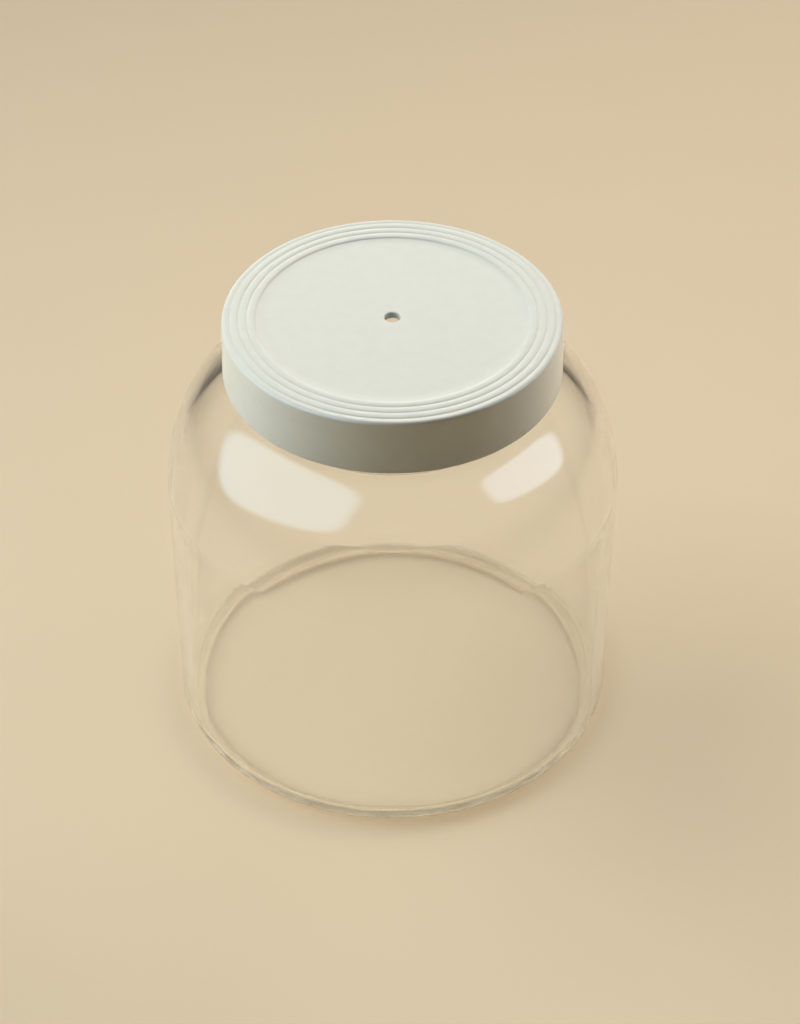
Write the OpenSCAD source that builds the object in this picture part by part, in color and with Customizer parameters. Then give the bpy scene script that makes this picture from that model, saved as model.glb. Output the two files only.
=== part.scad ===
// Sourdough starter jar: a wide round glass jar, a screw lid with a vent hole
// and a flat sealing ring between the two. Origin at the centre of the base,
// +Z up, sizes in millimetres.

/* [Jar body] */
// Outer diameter of the straight wall
body_d = 133.4; // [124:0.2:150]
// Thickness of the wall
glass_t = 3.8; // [2.6:0.1:5]
// Outer radius of the rounded heel
heel_r = 4.5; // [4:0.5:8]
// Radius of the heel inside the jar
heel_in = 2.5; // [2:0.5:6]
// Thickness of the base in its middle
base_t = 2.2; // [1.8:0.1:5]
// Height of the arched push-up under the base
push_up = 0.5; // [0.3:0.1:1.2]
// Width of the flat ring that the jar stands on
foot_w = 1.8; // [1:0.1:5]

/* [Shoulder] */
// Height at which the straight wall ends
shoulder_z = 81; // [70:0.5:84]
// Radius of the shoulder's lower, wider arc
shoulder_r = 54; // [48:0.5:56]
// Angle that the lower arc turns through
shoulder_a = 25; // [20:1:30]
// Radius of the shoulder's upper, tighter arc
crown_r = 34; // [32:0.5:35]
// Thickness of the glass where it is gathered at the crown
crown_t = 6.2; // [5:0.1:7]
// Angle above the straight wall at which the glass is thickest
crown_a = 50; // [45:1:56]
// Thickness of the glass where the crown meets the neck
throat_t = 5.2; // [4.4:0.1:5.8]

/* [Neck] */
// Outer diameter of the neck behind the screw ridges
neck_d = 89; // [86:0.2:91]
// Thickness of the neck
neck_t = 2.8; // [2.2:0.1:3.4]
// Height from the top of the shoulder to the rim
neck_h = 14.9; // [14:0.1:20]
// How far the bead at the foot of the neck stands out
bead_out = 1; // [0.4:0.1:1.4]
// Height of that bead
bead_h = 2.4; // [1.6:0.1:3]
// Radius of the rim's rounded edges
rim_r = 0.9; // [0.4:0.1:1]

/* [Lid] */
// Room between the neck and the lid's bore, where the screw ridges lie
screw_gap = 2; // [1.8:0.05:2.6]
// Overall height of the lid's outer wall
lid_h = 17.2; // [15:0.1:18]
// How much narrower the skirt's radius is at its top
skirt_draft = 0.4; // [0.2:0.1:1.2]
// Thickness of the skirt at its top
skirt_t = 2; // [1.7:0.1:2.4]
// How much wider the bore's radius is at its mouth
bore_draft = 0.7; // [0.4:0.1:0.9]
// Thickness of the flat disc
plate_t = 2.2; // [1.8:0.1:3]
// Rounding of the skirt's top edge
edge_r = 1; // [0.6:0.1:1.5]
// Rounding of the skirt's lower edge
hem_r = 0.6; // [0.3:0.1:0.8]
// Diameter of the vent hole
vent_d = 4.6; // [3:0.1:8]

/* [Stepped moulding] */
// Width of the band round the moulding
band_w = 2.2; // [1.8:0.1:2.6]
// Height of that band above the disc
band_h = 0.25; // [0.2:0.05:0.6]
// Number of raised rings
ring_n = 3; // [1:1:3]
// Distance from ring to ring
ring_pitch = 2.45; // [1.8:0.05:2.5]
// Height of the step from the disc to the grooves between the rings
step_h = 0.15; // [0.1:0.05:0.6]
// How far a ring stands above its grooves
ring_h = 0.3; // [0.2:0.05:0.6]

/* [Sealing ring] */
// Thickness of the sealing ring
seal_t = 1.6; // [1:0.1:2.4]
// Gap between the ring and the walls that hold it
seal_gap = 0.3; // [0.2:0.05:0.5]
// Width of the collar inside the sealing ring
collar_t = 1.4; // [1:0.1:2]
// Depth of that collar below the plate
collar_h = 3.2; // [2.4:0.1:5]
// Gap between the collar and the bore of the neck
collar_gap = 0.8; // [0.5:0.1:1.2]

/* [Hidden] */
$fn = 96;
body_r = body_d / 2;
bore_r = body_r - glass_t;
neck_r = neck_d / 2;
mouth_r = neck_r - neck_t;
floor_z = push_up + base_t;
foot_r = body_r - heel_r - foot_w;
cap_r = neck_r + screw_gap;
crest_r = cap_r + skirt_t;
lid_r = crest_r + skirt_draft;
collar_r = mouth_r - collar_gap;
seal_in = collar_r + seal_gap;
seal_out = cap_r - seal_gap;
rings_r = crest_r - band_w;
disc_r = rings_r - ring_n * ring_pitch;

function arc(c, r, a0, a1, n) = [for (i = [0:n])
    let (a = a0 + (a1 - a0) * i / n) [c[0] + r * cos(a), c[1] + r * sin(a)]];

// The shoulder is two arcs that run on smoothly from the straight wall. Its
// inner face lies deeper below them the nearer it comes to the crown, and a
// little less deep again towards the neck.
function crown_c() = [body_r - shoulder_r + (shoulder_r - crown_r) * cos(shoulder_a),
    shoulder_z + (shoulder_r - crown_r) * sin(shoulder_a)];
function crown_end(r_end) = acos((r_end - crown_c()[0]) / crown_r);
function shoulder(r_end) = concat(
    arc([body_r - shoulder_r, shoulder_z], shoulder_r, 0, shoulder_a, 6),
    arc(crown_c(), crown_r, shoulder_a + 3, crown_end(r_end), 10));
function gather(a) = a < crown_a ? glass_t + (crown_t - glass_t) * sin(90 * a / crown_a)
    : throat_t + (crown_t - throat_t) * max(0, cos(3 * (a - crown_a)));
function inner(a) = a < shoulder_a
    ? arc([body_r - shoulder_r, shoulder_z], shoulder_r - gather(a), a, a, 1)[0]
    : arc(crown_c(), crown_r - gather(a), a, a, 1)[0];
shoulder_in = [for (a = [0:4:84]) if (inner(a)[0] > mouth_r + 0.6) inner(a)];

neck_z = crown_c()[1] + crown_r * sin(crown_end(neck_r + 1));
throat_z = shoulder_in[len(shoulder_in) - 1][1];
bead_z = neck_z + 2.6;

// Heights follow one another upwards: shoulder, rim, sealing ring, lid.
jar_h = neck_z + neck_h;
seat_z = jar_h + seal_t;
disc_z = seat_z + plate_t;
lid_z = disc_z - lid_h;

// The jar is one closed outline turned round the axis, read from the middle of
// the underside, up the outside, over the rim and down the inside.
module glass_jar() color([0.82, 0.88, 0.86, 0.4]) rotate_extrude() polygon(concat(
    [for (i = [0:6]) let (r = foot_r * i / 6) [r, push_up * (1 - pow(i / 6, 2))]],
    arc([body_r - heel_r, heel_r], heel_r, -90, 0, 8),
    shoulder(neck_r + 1),
    [[neck_r + 0.2, neck_z + 0.5], [neck_r, neck_z + 1.2]],
    [for (i = [0:6]) [neck_r + bead_out * sin(i * 30), bead_z - bead_h * cos(i * 30) / 2]],
    arc([neck_r - rim_r, jar_h - rim_r], rim_r, 0, 90, 4),
    arc([mouth_r + rim_r, jar_h - rim_r], rim_r, 90, 180, 4),
    [[mouth_r, throat_z + 1]],
    reverse(shoulder_in),
    arc([bore_r - heel_in, floor_z + heel_in], heel_in, 0, -90, 6),
    [[0, floor_z]]));

function reverse(v) = [for (i = [len(v) - 1:-1:0]) v[i]];

// One raised ring of the moulding, as points from its outer foot inwards.
function ring(k) = [for (i = [0:6]) let (r = rings_r - ring_pitch * (k + i / 6))
    [r, disc_z + step_h + ring_h * sqrt(sin(i * 30))]];

// The lid is one outline as well, with the vent hole left open in its middle.
module lid_cap() color([0.89, 0.89, 0.84]) rotate_extrude() polygon(concat(
    [[vent_d / 2, seat_z], [vent_d / 2, disc_z], [disc_r - 0.3, disc_z]],
    [for (k = [ring_n - 1:-1:0]) each reverse(ring(k))],
    [[rings_r + 0.15, disc_z + step_h], [rings_r + 0.35, disc_z + band_h]],
    arc([crest_r - edge_r, disc_z + band_h - edge_r], edge_r, 90, 0, 4),
    arc([lid_r - hem_r, lid_z + hem_r], hem_r, 0, -90, 3),
    arc([cap_r + bore_draft + hem_r, lid_z + hem_r], hem_r, -90, -180, 3),
    [[cap_r, seat_z]],
    [[collar_r, seat_z], [collar_r, seat_z - collar_h + 0.5],
     [collar_r - 0.5, seat_z - collar_h], [collar_r - collar_t + 0.4, seat_z - collar_h],
     [collar_r - collar_t, seat_z - collar_h + 0.4], [collar_r - collar_t, seat_z]]));

// The sealing ring lies flat on the rim, held between the collar and the skirt.
module seal_gasket() color([0.92, 0.91, 0.86]) translate([0, 0, jar_h])
    rotate_extrude() polygon([[seal_in, 0.2], [seal_in + 0.2, 0], [seal_out - 0.2, 0],
        [seal_out, 0.2], [seal_out, seal_t], [seal_in, seal_t]]);

glass_jar();
lid_cap();
seal_gasket();
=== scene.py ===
# %% [markdown]
# # A sourdough starter jar in clear glass
# The jar is turned glass: one outline swung round an axis. Its white lid is one
# moulding, screwed down on a milky sealing ring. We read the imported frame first,
# because every piece has to sit exactly where the construction model put it.

# %% Load the frame
import math

import bpy
from mathutils import Matrix, Quaternion, Vector


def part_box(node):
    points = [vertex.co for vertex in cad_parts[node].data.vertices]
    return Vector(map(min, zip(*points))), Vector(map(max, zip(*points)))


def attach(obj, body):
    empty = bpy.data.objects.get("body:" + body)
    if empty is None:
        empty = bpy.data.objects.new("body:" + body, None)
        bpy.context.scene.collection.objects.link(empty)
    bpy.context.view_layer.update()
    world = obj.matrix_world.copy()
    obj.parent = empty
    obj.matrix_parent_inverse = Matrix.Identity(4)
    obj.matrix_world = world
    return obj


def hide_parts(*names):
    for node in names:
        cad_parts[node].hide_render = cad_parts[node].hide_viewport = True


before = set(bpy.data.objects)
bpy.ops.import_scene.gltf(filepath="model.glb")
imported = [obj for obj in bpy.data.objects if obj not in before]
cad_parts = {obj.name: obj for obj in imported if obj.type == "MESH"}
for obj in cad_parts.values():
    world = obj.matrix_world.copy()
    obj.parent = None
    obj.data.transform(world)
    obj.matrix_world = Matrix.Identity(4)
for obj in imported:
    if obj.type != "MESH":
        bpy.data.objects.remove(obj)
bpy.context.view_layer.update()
MM = 0.001


# %% [markdown]
# ## Sizes
# A glassmaker's drawing is a handful of radii and heights. They repeat the
# construction model's sizes in millimetres, and the ones that the frame can
# tell us are measured from it, so the looks can't drift away from the solids.

# %% Read the driving sizes
def node_box(name):
    low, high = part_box(name)
    return [v / MM for v in low], [v / MM for v in high]


JAR_LOW, JAR_HIGH = node_box("glass_jar")
LID_LOW, LID_HIGH = node_box("lid_cap")
SEAL_LOW, SEAL_HIGH = node_box("seal_gasket")
BODY_R = 66.7
JAR_H = JAR_HIGH[2]
GLASS_T, HEEL_R, HEEL_IN, BASE_T, PUSH_UP, FOOT_W = 3.8, 4.5, 2.5, 2.2, 0.5, 1.8
SHOULDER_Z, SHOULDER_R, SHOULDER_A, CROWN_R = 81.0, 54.0, 25.0, 34.0
CROWN_T, CROWN_A, THROAT_T = 6.2, 50.0, 5.2
NECK_R, NECK_T, BEAD_OUT, BEAD_H, RIM_R = 44.5, 2.8, 1.0, 2.4, 0.9
MOUTH_R = NECK_R - NECK_T
print("jar", JAR_LOW, JAR_HIGH, "lid", LID_LOW, LID_HIGH)


# %% [markdown]
# ## Outlines
# Arcs join smoothly on real glass, because the mould is cut on a lathe. A helper
# gives the points of an arc, and another spaces points evenly along a straight
# stretch, so the turned mesh is fine enough for glass to bend light cleanly.

# %% Helpers for outlines
def arc(centre, radius, start, end, steps):
    """Points on an arc, angles in degrees."""
    turn = [math.radians(start + (end - start) * i / steps) for i in range(steps + 1)]
    return [(centre[0] + radius * math.cos(a), centre[1] + radius * math.sin(a)) for a in turn]


def line(start, end, steps):
    """Points along a straight stretch, without its two ends."""
    return [tuple(start[k] + (end[k] - start[k]) * i / steps for k in (0, 1)) for i in range(1, steps)]


def crown(end_r, wall=None):
    """The shoulder's outer face or, with a wall, its inner face, up to radius end_r.

    The glass gathers towards the crown: it is thickest where the shoulder
    turns over, and thins again towards the neck.
    """
    sway = SHOULDER_R - CROWN_R
    a0 = math.radians(SHOULDER_A)
    low_c = (BODY_R - SHOULDER_R, SHOULDER_Z)
    high_c = (low_c[0] + sway * math.cos(a0), low_c[1] + sway * math.sin(a0))
    points = []
    for a in range(0, 85):
        inset = 0.0
        if wall is not None and a < CROWN_A:
            inset = wall + (CROWN_T - wall) * math.sin(math.radians(90 * a / CROWN_A))
        elif wall is not None:
            inset = THROAT_T + (CROWN_T - THROAT_T) * max(0, math.cos(math.radians(3 * (a - CROWN_A))))
        centre, radius = (low_c, SHOULDER_R) if a < SHOULDER_A else (high_c, CROWN_R)
        r = centre[0] + (radius - inset) * math.cos(math.radians(a))
        if r < end_r:
            break
        points.append((r, centre[1] + (radius - inset) * math.sin(math.radians(a))))
    return points


# %% [markdown]
# ## Turning with a screw on it
# A jar, its lid and its ring are all turned, and two of them carry a screw. So
# one Geometry Nodes tree does the turning: it lays a grid of outline points by
# turns, reads each radius and height from the outline, and swings it round. On
# points marked as threaded it adds a ridge that climbs by a steady lead, which
# is all that a screw is.

# %% Build the turning tree
def socket(tree, name, kind, value=None):
    item = tree.interface.new_socket(name, in_out="INPUT", socket_type=kind)
    if value is not None:
        item.default_value = value
    return item


def turning_tree():
    tree = bpy.data.node_groups.new("turned_wall", "GeometryNodeTree")
    tree.interface.new_socket("Outline", in_out="INPUT", socket_type="NodeSocketGeometry")
    socket(tree, "Turns", "NodeSocketInt", 256)
    socket(tree, "Lead", "NodeSocketFloat", 0.024)
    socket(tree, "Starts", "NodeSocketInt", 4)
    socket(tree, "Phase", "NodeSocketFloat", 0.0)
    socket(tree, "Ridge Width", "NodeSocketFloat", 0.0022)
    socket(tree, "Crest Radius", "NodeSocketFloat", 0.0456)
    socket(tree, "Low End", "NodeSocketFloat", 0.125)
    socket(tree, "High End", "NodeSocketFloat", 0.133)
    socket(tree, "Material", "NodeSocketMaterial")
    tree.interface.new_socket("Geometry", in_out="OUTPUT", socket_type="NodeSocketGeometry")
    n, link = tree.nodes, tree.links.new
    given = n.new("NodeGroupInput")
    result = n.new("NodeGroupOutput")

    def maths(op, *args, clamp=False):
        node = n.new("ShaderNodeMath")
        node.operation, node.use_clamp = op, clamp
        for i, a in enumerate(args):
            if isinstance(a, (int, float)):
                node.inputs[i].default_value = a
            else:
                link(a, node.inputs[i])
        return node.outputs[0]

    def smooth(value, low, high):
        node = n.new("ShaderNodeMapRange")
        node.interpolation_type = "SMOOTHSTEP"
        for i, a in enumerate((value, low, high)):
            if isinstance(a, (int, float)):
                node.inputs[i].default_value = a
            else:
                link(a, node.inputs[i])
        return node.outputs[0]

    count = n.new("GeometryNodeAttributeDomainSize")
    link(given.outputs["Outline"], count.inputs[0])
    grid = n.new("GeometryNodeMeshGrid")
    link(maths("ADD", given.outputs["Turns"], 1), grid.inputs["Vertices X"])
    link(count.outputs["Point Count"], grid.inputs["Vertices Y"])
    index = n.new("GeometryNodeInputIndex").outputs[0]
    column = maths("FLOOR", maths("DIVIDE", maths("ADD", index, 0.5), count.outputs["Point Count"]))
    row = maths("ROUND", maths("SUBTRACT", index, maths("MULTIPLY", column, count.outputs["Point Count"])))
    angle = maths("MULTIPLY", maths("DIVIDE", column, given.outputs["Turns"]), math.tau)

    def sampled(kind, field):
        node = n.new("GeometryNodeSampleIndex")
        node.data_type, node.domain = kind, "POINT"
        link(given.outputs["Outline"], node.inputs["Geometry"])
        link(field, node.inputs["Value"])
        link(row, node.inputs["Index"])
        return node.outputs[0]

    place = n.new("ShaderNodeSeparateXYZ")
    link(sampled("FLOAT_VECTOR", n.new("GeometryNodeInputPosition").outputs[0]), place.inputs[0])
    radius, height = place.outputs["X"], place.outputs["Z"]
    mark = n.new("GeometryNodeInputNamedAttribute")
    mark.data_type = "FLOAT"
    mark.inputs["Name"].default_value = "threaded"
    threaded = sampled("FLOAT", mark.outputs[0])

    pitch = maths("DIVIDE", given.outputs["Lead"], given.outputs["Starts"])
    climb = maths("MULTIPLY", given.outputs["Lead"], maths("DIVIDE", angle, math.tau))
    off = maths("SUBTRACT", maths("SUBTRACT", height, climb), given.outputs["Phase"])
    near = maths("ABSOLUTE", maths("WRAP", off, maths("MULTIPLY", pitch, 0.5), maths("MULTIPLY", pitch, -0.5)))
    half = maths("MULTIPLY", given.outputs["Ridge Width"], 0.5)
    ridge = smooth(near, half, maths("MULTIPLY", half, 0.35))
    fade = 0.0016
    low, high = given.outputs["Low End"], given.outputs["High End"]
    span = maths("MULTIPLY", smooth(height, low, maths("ADD", low, fade)),
                 smooth(height, high, maths("SUBTRACT", high, fade)))
    weight = maths("MULTIPLY", maths("MULTIPLY", ridge, span), threaded)
    rise = maths("MULTIPLY", maths("SUBTRACT", given.outputs["Crest Radius"], radius), weight)
    r = maths("ADD", radius, rise)
    point = n.new("ShaderNodeCombineXYZ")
    link(maths("MULTIPLY", r, maths("COSINE", angle)), point.inputs[0])
    link(maths("MULTIPLY", r, maths("SINE", angle)), point.inputs[1])
    link(height, point.inputs[2])
    put = n.new("GeometryNodeSetPosition")
    link(grid.outputs["Mesh"], put.inputs["Geometry"])
    link(point.outputs[0], put.inputs["Position"])
    merge = n.new("GeometryNodeMergeByDistance")
    merge.inputs["Distance"].default_value = 1e-6
    link(put.outputs[0], merge.inputs["Geometry"])
    shade = n.new("GeometryNodeSetShadeSmooth")
    link(merge.outputs[0], shade.inputs[0])
    real = n.new("GeometryNodeRealizeInstances")
    link(shade.outputs[0], real.inputs[0])
    paint = n.new("GeometryNodeSetMaterial")
    link(real.outputs[0], paint.inputs["Geometry"])
    link(given.outputs["Material"], paint.inputs["Material"])
    link(paint.outputs[0], result.inputs["Geometry"])
    return tree


TURNING = turning_tree()
print("turning tree with", len(TURNING.nodes), "nodes")


# %% Turn an outline into a closed piece
def turned(name, outline, material, threaded=lambda r, z: False, **sizes):
    """A closed outline of (radius, height) points, in mm, swung round the axis."""
    loop = outline if outline[0][0] == 0 else outline + outline[:1]
    mesh = bpy.data.meshes.new(name)
    mesh.from_pydata([(r * MM, 0, z * MM) for r, z in loop], [(i, i + 1) for i in range(len(loop) - 1)], [])
    marks = mesh.attributes.new("threaded", "FLOAT", "POINT")
    for item, (r, z) in zip(marks.data, loop):
        item.value = 1.0 if threaded(r, z) else 0.0
    ob = bpy.data.objects.new(name, mesh)
    bpy.context.scene.collection.objects.link(ob)
    mod = ob.modifiers.new("turning", "NODES")
    mod.node_group = TURNING
    ids = {i.name: i.identifier for i in TURNING.interface.items_tree if i.in_out == "INPUT"}
    for key, value in dict(sizes, Material=material).items():
        mod[ids[key.replace("_", " ")]] = value
    done = bpy.data.meshes.new_from_object(ob.evaluated_get(bpy.context.evaluated_depsgraph_get()))
    ob.modifiers.clear()
    ob.data = done
    done.name = name
    import bmesh
    bm = bmesh.new()
    bm.from_mesh(done)
    bmesh.ops.remove_doubles(bm, verts=bm.verts, dist=1e-6)
    bmesh.ops.dissolve_degenerate(bm, edges=bm.edges, dist=1e-7)
    bmesh.ops.recalc_face_normals(bm, faces=bm.faces)
    bm.to_mesh(done)
    bm.free()
    done.shade_smooth()
    print(name, len(done.polygons), "faces")
    return ob


# %% [markdown]
# ## A shared unevenness
# No pressed glass, moulding or plaster is quite even. All four finishes use the
# same slow noise, each at its own scale, so it is a node group that is built
# once. It gives a height for the bump and a soft mask for the drift of a colour.

# %% Build the unevenness group
def unevenness_group():
    tree = bpy.data.node_groups.new("fine_unevenness", "ShaderNodeTree")
    for name, value in (("Scale", 20.0), ("Detail", 2.0), ("Low", 0.35), ("High", 0.65)):
        tree.interface.new_socket(name, in_out="INPUT", socket_type="NodeSocketFloat").default_value = value
    for name in ("Height", "Drift"):
        tree.interface.new_socket(name, in_out="OUTPUT", socket_type="NodeSocketFloat")
    nodes, link = tree.nodes, tree.links.new
    given, result = nodes.new("NodeGroupInput"), nodes.new("NodeGroupOutput")
    where = nodes.new("ShaderNodeTexCoord")
    noise = nodes.new("ShaderNodeTexNoise")
    link(where.outputs["Object"], noise.inputs["Vector"])
    link(given.outputs["Scale"], noise.inputs["Scale"])
    link(given.outputs["Detail"], noise.inputs["Detail"])
    drift = nodes.new("ShaderNodeMapRange")
    drift.interpolation_type = "SMOOTHSTEP"
    link(noise.outputs["Fac"], drift.inputs["Value"])
    link(given.outputs["Low"], drift.inputs["From Min"])
    link(given.outputs["High"], drift.inputs["From Max"])
    link(noise.outputs["Fac"], result.inputs["Height"])
    link(drift.outputs[0], result.inputs["Drift"])
    return tree


UNEVENNESS = unevenness_group()
print("group", UNEVENNESS.name, [i.name for i in UNEVENNESS.interface.items_tree])


# %% Small helpers for the finishes
def new_material(name):
    m = bpy.data.materials.new(name)
    m.use_nodes = True
    return m, m.node_tree.nodes, m.node_tree.links.new, m.node_tree.nodes["Principled BSDF"]


def uneven(nodes, link, shader, scale, detail, strength, distance):
    """Places the shared group and lets it shape the surface a little."""
    group = nodes.new("ShaderNodeGroup")
    group.node_tree = UNEVENNESS
    group.inputs["Scale"].default_value = scale
    group.inputs["Detail"].default_value = detail
    bump = nodes.new("ShaderNodeBump")
    bump.inputs["Strength"].default_value = strength
    bump.inputs["Distance"].default_value = distance
    link(group.outputs["Height"], bump.inputs["Height"])
    link(bump.outputs[0], shader.inputs["Normal"])
    return group


def blend(nodes, link, mask, first, second):
    """Two colours, or a colour over another node's colour, mixed by a mask."""
    node = nodes.new("ShaderNodeMix")
    node.data_type = "RGBA"
    link(mask, node.inputs["Factor"])
    for socket_name, value in (("A", first), ("B", second)):
        spot = [i for i in node.inputs if i.name == socket_name and i.type == "RGBA"][0]
        if isinstance(value, tuple):
            spot.default_value = (*value, 1)
        else:
            link(value, spot)
    return [o for o in node.outputs if o.type == "RGBA"][0]


def between(nodes, link, value, low, high):
    """A mask that eases from 0 at low to 1 at high."""
    node = nodes.new("ShaderNodeMapRange")
    node.interpolation_type = "SMOOTHSTEP"
    node.inputs["From Min"].default_value = low
    node.inputs["From Max"].default_value = high
    link(value, node.inputs["Value"])
    return node.outputs[0]


# %% [markdown]
# ## Clear glass
# Clear glass is one Principled shader with full transmission. Its shadow would
# come out black, so shadow rays pass through a pale filter instead. Ordinary
# glass holds a trace of brown that shows only where we look along the wall, so
# a facing mask tints the edges. The underside carries a haze of fine scratches,
# and the heel that the jar stands on is stippled in the mould: both scatter a
# little light, which ends the long way that light runs inside the base. The
# heel also lets less light through to the floor, which is the jar's soft shadow.

# %% Make the glass
def low_zone(nodes, link, top, full, inner=None, outer=None):
    """A mask for the lowest part of the jar, and with radii only for its outer part."""
    where = nodes.new("ShaderNodeTexCoord")
    parts = nodes.new("ShaderNodeSeparateXYZ")
    link(where.outputs["Object"], parts.inputs[0])
    low = between(nodes, link, parts.outputs["Z"], top * MM, full * MM)
    if inner is None:
        return low
    flat = nodes.new("ShaderNodeVectorMath")
    flat.operation = "MULTIPLY"
    flat.inputs[1].default_value = (1, 1, 0)
    link(where.outputs["Object"], flat.inputs[0])
    radius = nodes.new("ShaderNodeVectorMath")
    radius.operation = "LENGTH"
    link(flat.outputs[0], radius.inputs[0])
    return weighed(nodes, link, low, between(nodes, link, radius.outputs["Value"], inner * MM, outer * MM))


def weighed(nodes, link, value, by, plus=0.0):
    """value times by, plus a value: by and plus are numbers or other nodes' values."""
    node = nodes.new("ShaderNodeMath")
    node.operation = "MULTIPLY_ADD"
    for i, item in enumerate((value, by, plus)):
        if isinstance(item, float):
            node.inputs[i].default_value = item
        else:
            link(item, node.inputs[i])
    return node.outputs[0]


def mixed(nodes, link, mask, first, second):
    node = nodes.new("ShaderNodeMixShader")
    for i, item in enumerate((mask, first, second)):
        link(item, node.inputs[i])
    return node.outputs[0]


def clear_glass():
    m, nodes, link, shader = new_material("clear_glass")
    shader.inputs["Roughness"].default_value = 0.0
    shader.inputs["IOR"].default_value = 1.5
    shader.inputs["Transmission Weight"].default_value = 1.0
    uneven(nodes, link, shader, 22.0, 1.0, 0.12, 0.001)
    facing = nodes.new("ShaderNodeLayerWeight")
    facing.inputs["Blend"].default_value = 0.5
    edge = between(nodes, link, facing.outputs["Facing"], EDGE_FROM, 1.0)
    link(blend(nodes, link, edge, CLEAR, EDGE_TINT), shader.inputs["Base Color"])
    scattered = nodes.new("ShaderNodeBsdfDiffuse")
    scattered.inputs["Color"].default_value = (*STIPPLE, 1)
    haze = weighed(nodes, link, low_zone(nodes, link, 1.2, 0.6), HAZE)
    share = weighed(nodes, link, low_zone(nodes, link, 4.5, 0.8, 59.5, 61), STIPPLED, haze)
    surface = mixed(nodes, link, share, shader.outputs[0], scattered.outputs[0])
    path = nodes.new("ShaderNodeLightPath")
    through = nodes.new("ShaderNodeBsdfTransparent")
    link(blend(nodes, link, low_zone(nodes, link, 6.0, 2.0, 57, 60), CLEAR, HEEL_SHADE), through.inputs[0])
    link(mixed(nodes, link, path.outputs["Is Shadow Ray"], surface, through.outputs[0]),
         nodes["Material Output"].inputs[0])
    return m


CLEAR, HEEL_SHADE = (0.985, 0.985, 0.975), (0.70, 0.68, 0.65)
EDGE_FROM, EDGE_TINT = 0.90, (0.40, 0.32, 0.22)
STIPPLE, STIPPLED, HAZE = (0.80, 0.70, 0.50), 0.5, 0.035
GLASS = clear_glass()
print("finish", GLASS.name)

# %% [markdown]
# ## Plastic and silicone
# The lid is moulded polypropylene: a cool greenish white, softly glossy. The
# ring is milky silicone, which lets light in a few millimetres deep.

# %% Make the plastic and the silicone
def lid_plastic():
    m, nodes, link, shader = new_material("lid_plastic")
    shader.inputs["Roughness"].default_value = 0.28
    shader.inputs["IOR"].default_value = 1.47
    shader.inputs["Coat Weight"].default_value = 0.05
    shader.inputs["Coat Roughness"].default_value = 0.12
    group = uneven(nodes, link, shader, 260.0, 2.0, 0.012, 0.0001)
    tone = blend(nodes, link, group.outputs["Drift"], (0.786, 0.822, 0.758), (0.798, 0.834, 0.770))
    link(tone, shader.inputs["Base Color"])
    return m


def milky_silicone():
    m, nodes, link, shader = new_material("silicone")
    shader.inputs["Roughness"].default_value = 0.45
    shader.inputs["Subsurface Weight"].default_value = 0.3
    shader.inputs["Subsurface Radius"].default_value = (0.004, 0.003, 0.002)
    group = uneven(nodes, link, shader, 400.0, 2.0, 0.1, 0.0002)
    tone = blend(nodes, link, group.outputs["Drift"], (0.72, 0.70, 0.63), (0.78, 0.76, 0.69))
    link(tone, shader.inputs["Base Color"])
    return m


PLASTIC = lid_plastic()
SILICONE = milky_silicone()
print("finishes", [m.name for m in (PLASTIC, SILICONE)])


# %% [markdown]
# ## The glass jar
# The outline runs from the push-up under the base, round the heel, up the wall,
# over the shoulder and neck to the rim, and back down inside. The screw sits on
# the outside of the neck, so only those points are marked as threaded.

# %% Turn the jar
def jar_outline():
    floor_z = PUSH_UP + BASE_T
    foot_r = BODY_R - HEEL_R - FOOT_W
    under = [(foot_r * i / 12, PUSH_UP * (1 - (i / 12) ** 2)) for i in range(13)]
    outer = crown(NECK_R + 1)
    neck_z = outer[-1][1]
    bead_z = neck_z + 2.6
    bead = [(NECK_R + BEAD_OUT * math.sin(math.pi * i / 10), bead_z - BEAD_H / 2 * math.cos(math.pi * i / 10))
            for i in range(11)]
    rim = arc((NECK_R - RIM_R, JAR_H - RIM_R), RIM_R, 0, 90, 8)
    rim += arc((MOUTH_R + RIM_R, JAR_H - RIM_R), RIM_R, 90, 180, 8)
    inner = crown(MOUTH_R + 0.6, GLASS_T)[::-1]
    throat = (MOUTH_R, inner[0][1] + 1)
    heel = arc((BODY_R - HEEL_R, HEEL_R), HEEL_R, -90, 0, 16)
    bore = arc((BODY_R - GLASS_T - HEEL_IN, floor_z + HEEL_IN), HEEL_IN, 0, -90, 16)
    return (under + heel + line(heel[-1], outer[0], 24) + outer
            + [(NECK_R + 0.2, neck_z + 0.5), (NECK_R, neck_z + 1.2)] + bead
            + line(bead[-1], rim[0], 44) + rim + line(rim[-1], throat, 12) + [throat] + inner
            + line(inner[-1], bore[0], 24) + bore
            + [((bore[-1][0]) * (1 - i / 12), floor_z) for i in range(1, 13)]), bead_z


JAR_OUTLINE, BEAD_Z = jar_outline()
THREAD = dict(Turns=288, Lead=0.024, Starts=4, Ridge_Width=0.0024)
jar = turned("glass_jar_turned", JAR_OUTLINE, GLASS,
             lambda r, z: abs(r - NECK_R) < 0.01 and z > BEAD_Z,
             Crest_Radius=45.6 * MM, Low_End=(BEAD_Z + 1.6) * MM, High_End=(JAR_H - 1.6) * MM,
             Phase=0.0, **THREAD)
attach(jar, "jar")
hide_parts("glass_jar")


# %% [markdown]
# ## The lid
# The lid's top is a flat disc, three low rounded rings and a flat band round the
# edge, with a fine groove between each and the next. Its skirt is almost
# straight: it flares just enough to leave the mould. The vent hole is simply
# where the outline starts.

# %% Turn the lid
LID_TOP_R, LID_HEM_R = 48.5, 48.9
SKIRT_T, BORE_DRAFT, EDGE_R, HEM_R = 2.0, 0.7, 1.0, 0.6
PLATE_T, VENT_R, BAND_W, BAND_H = 2.2, 2.3, 2.2, 0.25
RINGS, RING_PITCH, STEP_H, RING_H = 3, 2.45, 0.15, 0.3
COLLAR_T, COLLAR_H, COLLAR_GAP = 1.4, 3.2, 0.8


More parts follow.
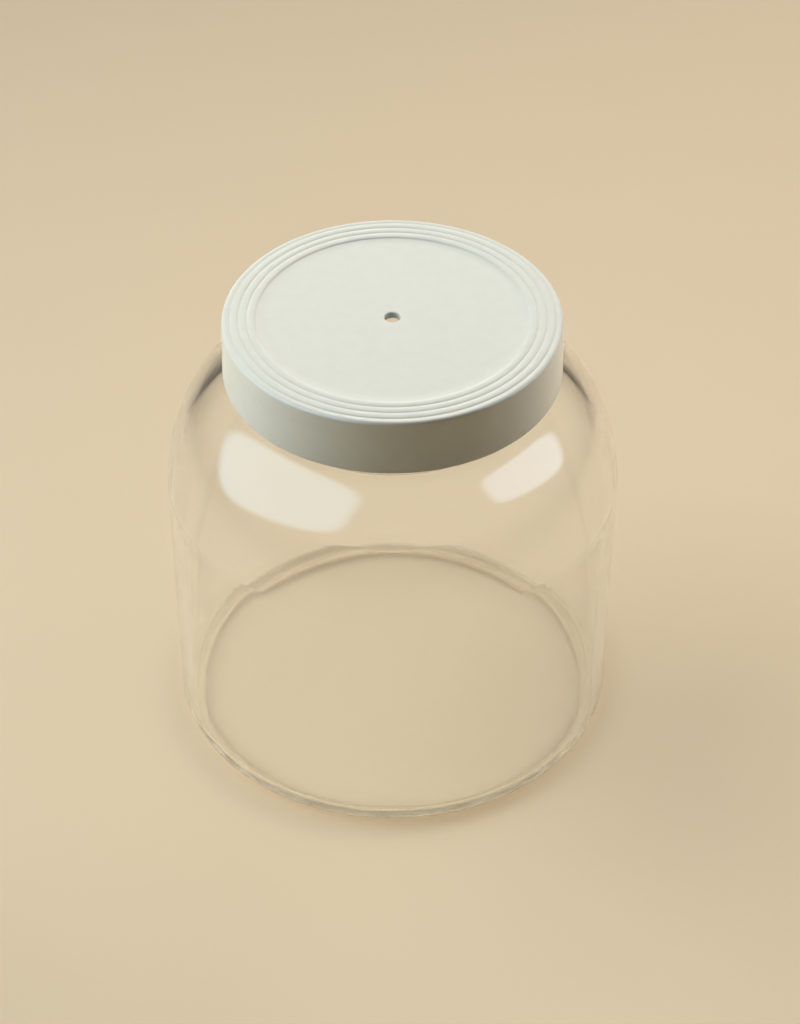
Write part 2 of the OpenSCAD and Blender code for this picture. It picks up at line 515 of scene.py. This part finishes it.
def lid_outline():
    seat = SEAL_HIGH[2]
    disc_z = seat + PLATE_T
    low = LID_LOW[2]
    cap_r = LID_TOP_R - SKIRT_T
    rings_r = LID_TOP_R - BAND_W
    disc_r = rings_r - RINGS * RING_PITCH
    collar_r = MOUTH_R - COLLAR_GAP
    rings = [(rings_r - RING_PITCH * i / 14, disc_z + STEP_H + RING_H * abs(math.sin(math.pi * i / 14)) ** 0.5)
             for i in range(14 * RINGS + 1)][::-1]
    vent = 0.35
    hem_in = arc((cap_r + BORE_DRAFT + HEM_R, low + HEM_R), HEM_R, -90, -180, 5)
    vent_low = arc((VENT_R + vent, seat + vent), vent, -90, -180, 4)
    vent_high = arc((VENT_R + vent, disc_z - vent), vent, 180, 90, 4)
    return (vent_low + vent_high + [(VENT_R + vent + 0.1, disc_z)]
            + line((VENT_R + vent + 0.1, disc_z), (disc_r - 0.35, disc_z), 14)
            + [(disc_r - 0.35, disc_z), (disc_r - 0.1, disc_z + 0.08)]
            + rings + [(rings_r + 0.15, disc_z + STEP_H), (rings_r + 0.35, disc_z + BAND_H)]
            + arc((LID_TOP_R - EDGE_R, disc_z + BAND_H - EDGE_R), EDGE_R, 90, 0, 12)
            + line((LID_TOP_R, disc_z + BAND_H - EDGE_R), (LID_HEM_R, low + HEM_R), 8)
            + arc((LID_HEM_R - HEM_R, low + HEM_R), HEM_R, 0, -90, 6) + hem_in
            + line(hem_in[-1], (cap_r, seat), 60) + [(cap_r, seat)]
            + [(collar_r + 0.1, seat), (collar_r, seat - 0.2), (collar_r, seat - COLLAR_H + 0.5),
               (collar_r - 0.5, seat - COLLAR_H), (collar_r - COLLAR_T + 0.4, seat - COLLAR_H),
               (collar_r - COLLAR_T, seat - COLLAR_H + 0.4), (collar_r - COLLAR_T, seat - 0.3),
               (collar_r - COLLAR_T - 0.3, seat)]
            + line((collar_r - COLLAR_T - 0.3, seat), (VENT_R + vent + 0.1, seat), 10)
            + [(VENT_R + vent + 0.1, seat)])


CAP_BORE = LID_TOP_R - SKIRT_T
lid = turned("lid_cap_turned", lid_outline(), PLASTIC,
             lambda r, z: CAP_BORE < r < CAP_BORE + BORE_DRAFT + 0.01 and z < SEAL_LOW[2],
             Crest_Radius=45.0 * MM, Low_End=(BEAD_Z + 1.5) * MM, High_End=(JAR_H - 0.8) * MM,
             Phase=-0.0027, **THREAD)
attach(lid, "lid")
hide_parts("lid_cap")


# %% [markdown]
# ## The sealing ring
# A flat ring of silicone lies on the rim. Its edges are cut with a slight
# rounding, which is what catches the light when the lid is off.

# %% Turn the ring
def ring_outline():
    seal_in = MOUTH_R - COLLAR_GAP + 0.3
    seal_out = CAP_BORE - 0.3
    low, high, edge = SEAL_LOW[2], SEAL_HIGH[2], 0.25
    corners = [((seal_out - edge, low + edge), -90), ((seal_out - edge, high - edge), 0),
               ((seal_in + edge, high - edge), 90), ((seal_in + edge, low + edge), 180)]
    return [p for c, a in corners for p in arc(c, edge, a, a + 90, 4)]


ring = turned("seal_gasket_turned", ring_outline(), SILICONE, Turns=256)
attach(ring, "seal")
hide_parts("seal_gasket")


# %% [markdown]
# ## Floor, world and lamps
# The jar stands on smooth plaster. Glass is drawn by what it bends into view,
# so a pool of light is painted into the floor's colour, pale near the jar and
# darkening away from it, and the world is dim: that is what gives the shoulder
# its thin dark line. The lamps light plaster and lid and stay out of the glass,
# and two cards alone make the two windows' gloss.
# The low lamp on the left is cool, as light from the sky is, and the low one on
# the right is warm, so the lid's skirt runs from a bluish side to a brown one.

# %% Lay the floor
def plaster_floor():
    size = 4.0
    bpy.ops.mesh.primitive_plane_add(size=2 * size)
    floor = bpy.context.object
    floor.name = "floor"
    for corner in floor.data.vertices:
        corner.co.z = -0.0003
    m, nodes, link, shader = new_material("plaster_floor")
    shader.inputs["Roughness"].default_value = 0.75
    uneven(nodes, link, shader, 9.0, 3.0, 0.25, 0.004)
    # Painted pool of light: the floor's colour is pale around a spot just in front of the jar and darkens to
    # deep brown further off, standing in for light that falls off across the room.
    where = nodes.new("ShaderNodeTexCoord")
    away = nodes.new("ShaderNodeVectorMath")
    away.operation = "DISTANCE"
    away.inputs[1].default_value = (0.03, -0.13, 0.0)
    link(where.outputs["Object"], away.inputs[0])
    painted_light_pool = nodes.new("ShaderNodeValToRGB")
    painted_pool_tones = painted_light_pool.color_ramp.elements
    painted_pool_tones[0].position, painted_pool_tones[0].color = 0.016, (0.778, 0.650, 0.45, 1)
    painted_pool_tones[1].position, painted_pool_tones[1].color = 0.34, (0.22, 0.18, 0.13, 1)
    painted_pool_tones.new(0.40).color = (0.10, 0.085, 0.065, 1)
    reach = nodes.new("ShaderNodeMath")
    reach.operation = "DIVIDE"
    reach.inputs[1].default_value = 3.0
    link(away.outputs["Value"], reach.inputs[0])
    link(reach.outputs[0], painted_light_pool.inputs["Fac"])
    link(painted_light_pool.outputs["Color"], shader.inputs["Base Color"])
    floor.data.materials.append(m)
    return floor


FLOOR = plaster_floor()
print("floor", FLOOR.name)


# %% Light it
def softbox(name, azimuth, elevation, distance, size, power, tint=(1, 1, 1), tilt=0.0):
    """A rectangular lamp aimed at the jar, tilted in its own plane; azimuth 0 stands behind it."""
    lamp = bpy.data.lights.new(name, "AREA")
    lamp.shape = "RECTANGLE"
    lamp.size, lamp.size_y = size
    lamp.energy, lamp.color = power, tint
    ob = bpy.data.objects.new(name, lamp)
    bpy.context.scene.collection.objects.link(ob)
    a, e = math.radians(azimuth), math.radians(elevation)
    aim = Vector((0, 0, 0.08))
    ob.location = aim + distance * Vector((math.sin(a) * math.cos(e), math.cos(a) * math.cos(e), math.sin(e)))
    facing = (aim - ob.location).to_track_quat("-Z", "Y")
    ob.rotation_euler = (facing @ Quaternion((0, 0, 1), math.radians(tilt))).to_euler()
    return ob


LAMPS = (softbox("window_left", -71, 43, 1.5, (1.4, 1.4), 18.2, (1.0, 0.97, 0.94)),
         softbox("window_low", -84, 18, 1.4, (1.0, 0.8), 8.6, (0.80, 0.92, 0.97)),
         softbox("window_back", 12, 33, 1.7, (1.6, 1.0), 9.6),
         softbox("window_right", 52, 22, 1.4, (0.9, 0.6), 16.5, (1.0, 0.91, 0.84)))
for lamp in LAMPS:
    lamp.visible_glossy = lamp.visible_transmission = False
    lamp.data.cycles.use_multiple_importance_sampling = False


# %% Hang the two cards
def soft_edged(card):
    """A card that only gloss can see: a bright rectangle with round corners and a faded edge."""
    card.visible_diffuse = card.visible_transmission = False
    card.data.use_nodes = True
    nodes, link = card.data.node_tree.nodes, card.data.node_tree.links.new
    spot = nodes.new("ShaderNodeNewGeometry").outputs["Parametric"]
    for operation, second in (("SUBTRACT", (0.5, 0.5, 0)), ("MULTIPLY", (1, 1, 0)), ("MULTIPLY", None), ("LENGTH", None)):
        step = nodes.new("ShaderNodeVectorMath")
        step.operation = operation
        link(spot, step.inputs[0])
        if second is not None:
            step.inputs[1].default_value = second
        elif operation == "MULTIPLY":
            link(spot, step.inputs[1])
        spot = step.outputs["Value" if operation == "LENGTH" else "Vector"]
    link(between(nodes, link, spot, 0.25, 0.14), nodes["Emission"].inputs["Strength"])
    return card


CARDS = (soft_edged(softbox("card_left", -110, 35, 1.3, (2.15, 1.42), 49, (0.45, 0.76, 1.0), 25)),
         soft_edged(softbox("card_right", 94, 34, 1.3, (1.2, 0.75), 15, (0.58, 0.76, 1.0), -28)))
for lamp in LAMPS + CARDS:
    lamp.visible_camera = False
print("lamps", [o.name for o in LAMPS], "cards", [o.name for o in CARDS])


# %% Fill the room
def graded(nodes, link, axis, low, high, first, second):
    """A colour that runs from one side of the room to another."""
    where = nodes.new("ShaderNodeTexCoord")
    parts = nodes.new("ShaderNodeSeparateXYZ")
    link(where.outputs["Generated"], parts.inputs[0])
    return blend(nodes, link, between(nodes, link, parts.outputs[axis], low, high), first, second)


def room_light():
    """Dim plaster all round for the light, and a paler wall for eye, gloss and glass."""
    world = bpy.data.worlds.new("room")
    bpy.context.scene.world = world
    world.use_nodes = True
    nodes, link = world.node_tree.nodes, world.node_tree.links.new
    light = graded(nodes, link, "Y", -0.5, 0.5, (0.01, 0.009, 0.007), (0.03, 0.027, 0.022))
    seen = graded(nodes, link, "Z", 0.02, 0.35, (0.22, 0.185, 0.14), (0.62, 0.53, 0.41))
    path = nodes.new("ShaderNodeLightPath")
    rays = path.outputs["Is Camera Ray"]
    for name in ("Is Glossy Ray", "Is Transmission Ray"):
        either = nodes.new("ShaderNodeMath")
        either.operation = "MAXIMUM"
        link(rays, either.inputs[0])
        link(path.outputs[name], either.inputs[1])
        rays = either.outputs[0]
    link(blend(nodes, link, rays, light, seen), nodes["Background"].inputs[0])
    return world


room_light()
# Light is thrown to and fro many times inside a thick base before it leaves.
cycles = bpy.context.scene.cycles
cycles.max_bounces = cycles.glossy_bounces = cycles.transmission_bounces = 64
cycles.caustics_reflective = cycles.caustics_refractive = False
bpy.context.scene.view_settings.view_transform = "Standard"


# %% [markdown]
# ## Camera
# The camera looks down at about forty degrees, far enough away that the jar's
# walls lean in only a little. Its place and lens were worked out from the ovals
# of the lid and of the body.

# %% Place the camera
def photo_camera():
    distance, height, pitch, yaw, roll, focal_px = 0.5947, 0.5789, 0.7118, 0.0037, 0.0012, 2604.5
    ahead = Vector((math.sin(yaw) * math.cos(pitch), math.cos(yaw) * math.cos(pitch), -math.sin(pitch)))
    right = ahead.cross(Vector((0, 0, 1))).normalized()
    up = right.cross(ahead)
    right, up = (math.cos(roll) * right + math.sin(roll) * up, -math.sin(roll) * right + math.cos(roll) * up)
    lens = bpy.data.cameras.new("photo_camera")
    lens.sensor_width = 36
    lens.lens = focal_px * lens.sensor_width / 1024
    lens.clip_start = 0.01
    ob = bpy.data.objects.new("photo_camera", lens)
    bpy.context.scene.collection.objects.link(ob)
    pose = Matrix((right, up, -ahead)).transposed().to_4x4()
    pose.translation = Vector((0, -distance, height))
    ob.matrix_world = pose
    bpy.context.scene.camera = ob
    return ob


print("lens", round(photo_camera().data.lens, 1), "mm")
